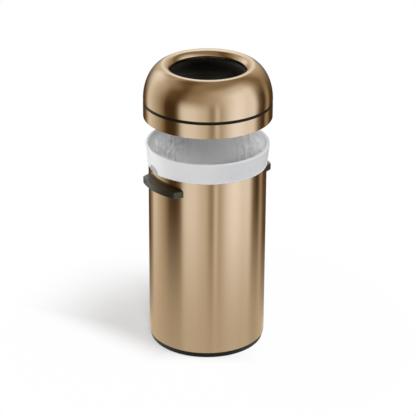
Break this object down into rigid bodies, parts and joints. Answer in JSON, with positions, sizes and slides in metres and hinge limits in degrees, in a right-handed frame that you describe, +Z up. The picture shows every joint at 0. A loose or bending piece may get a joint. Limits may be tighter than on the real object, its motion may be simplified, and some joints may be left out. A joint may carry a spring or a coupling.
{
  "type": "open-top trash can",
  "caption": "Round steel litter bin on a floor ring, with a bag turned over its rolled rim, fixed side grips and a lift-off domed lid with an open mouth.",
  "frame": {"origin": "centre of the circle that the floor ring stands on", "axes": "+Z up along the can's axis, X through the two side grips, -Y towards the side between the grips that faces the viewer"},
  "size_m": [0.431, 0.4174, 0.9596],
  "materials": {
    "champagne_steel": "satin, warm champagne tone",
    "plain_steel": "mill finish",
    "screw_steel": "bright zinc",
    "insert_brass": "turned",
    "black_plastic": "satin moulded",
    "grip_plastic": "satin moulded, dark olive grey",
    "lining_plastic": "smooth moulded",
    "white_film": "soft translucent film"
  },
  "bodies": {
    "can": {"body_shell": "champagne_steel", "base_ring": "black_plastic", "floor_pan": "plain_steel", "base_screws": "screw_steel", "handle_left": "grip_plastic", "handle_right": "grip_plastic", "handle_inserts": "insert_brass", "handle_washers": "screw_steel", "handle_screws": "screw_steel", "liner": "white_film"},
    "lid": {"seat_ring": "black_plastic", "lid_skirt": "champagne_steel", "lid_dome": "champagne_steel", "dome_lining": "lining_plastic", "lining_screws": "screw_steel"}
  },
  "joints": [
    {"name": "lid_lift", "type": "slide", "parent": "can", "child": "lid", "axis": [0, 0, 1], "range_m": [-0.1375, 0.1]}
  ]
}
